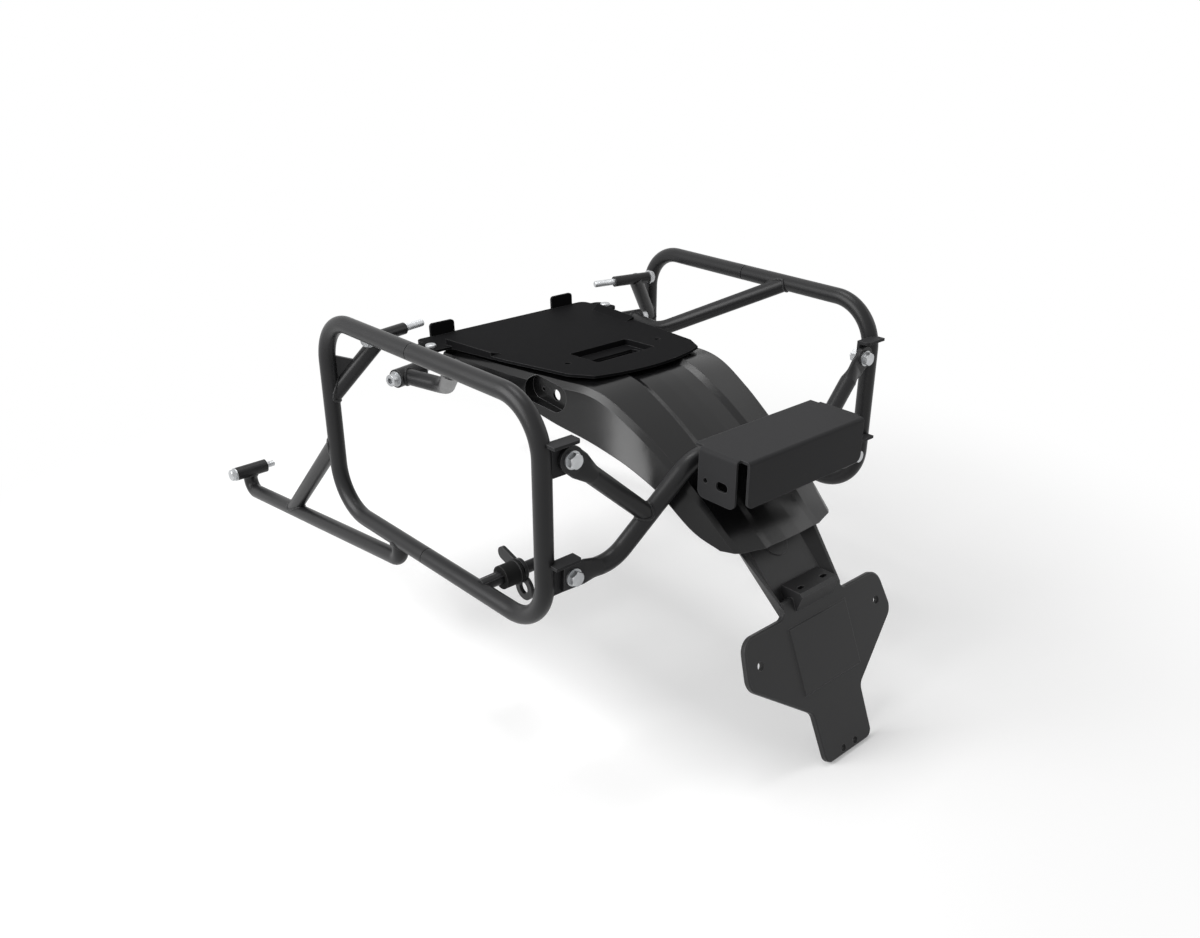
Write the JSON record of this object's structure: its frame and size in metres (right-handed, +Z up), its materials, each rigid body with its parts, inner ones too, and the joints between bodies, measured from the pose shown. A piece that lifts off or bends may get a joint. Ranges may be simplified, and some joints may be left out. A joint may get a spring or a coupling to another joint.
{
  "type": "motorcycle pannier frame",
  "caption": "Motorcycle pannier frame: tubular side hoops, bent crossbar, stays and arms to the bike, moulded rear fender with seat deck, accessory bracket and number plate holder.",
  "frame": {"origin": "centre plane of the bike, at the height of the upper hoop tubes and at the joints between the hoop halves", "axes": "+X to the bike's right side, +Y forward, +Z up"},
  "size_m": [0.5318, 0.8079, 0.3748],
  "materials": {
    "powder_coat": "satin black powder coat on steel tube and sheet",
    "fender_plastic": "satin black moulded plastic",
    "zinc": "bright zinc plate",
    "bush_rubber": "matt black rubber"
  },
  "bodies": {
    "root": {"accessory_bracket": "powder_coat", "bracket_carrier_left": "powder_coat", "bracket_carrier_right": "powder_coat", "bracket_lower_left": "powder_coat", "bracket_lower_right": "powder_coat", "bracket_upper_left": "powder_coat", "bracket_upper_right": "powder_coat", "crossbar": "powder_coat", "deck_bolt_nuts": "zinc", "deck_bolts": "zinc", "fender": "fender_plastic", "fender_nuts": "zinc", "fender_screws": "zinc", "front_gusset_left": "powder_coat", "front_gusset_right": "powder_coat", "front_mount_bolts": "zinc", "front_mount_washers": "zinc", "front_sleeve_left": "powder_coat", "front_sleeve_right": "powder_coat", "front_stay_left": "powder_coat", "front_stay_right": "powder_coat", "holder_screws": "zinc", "hoop_front_left": "powder_coat", "hoop_front_right": "powder_coat", "hoop_rear_left": "powder_coat", "hoop_rear_right": "powder_coat", "hoop_spigots": "powder_coat", "latch_bar_left": "powder_coat", "latch_bar_right": "powder_coat", "latch_bush_left": "bush_rubber", "latch_bush_right": "bush_rubber", "latch_lever_left": "powder_coat", "latch_lever_right": "powder_coat", "lower_arm_left": "powder_coat", "lower_arm_right": "powder_coat", "lower_brace_left": "powder_coat", "lower_brace_right": "powder_coat", "lower_mount_bolts": "zinc", "lower_mount_washers": "zinc", "lower_sleeve_left": "powder_coat", "lower_sleeve_right": "powder_coat", "mid_mount_bolts": "zinc", "mid_mount_washers": "zinc", "mid_sleeve_left": "powder_coat", "mid_sleeve_right": "powder_coat", "mid_strut_left": "powder_coat", "mid_strut_right": "powder_coat", "plate_holder": "fender_plastic", "rear_bolts": "zinc", "rear_nuts": "zinc", "rear_washers": "zinc", "rubber_mounts": "bush_rubber", "seat_deck": "fender_plastic", "short_strut_left": "powder_coat", "short_strut_right": "powder_coat"}
  },
  "joints": []
}
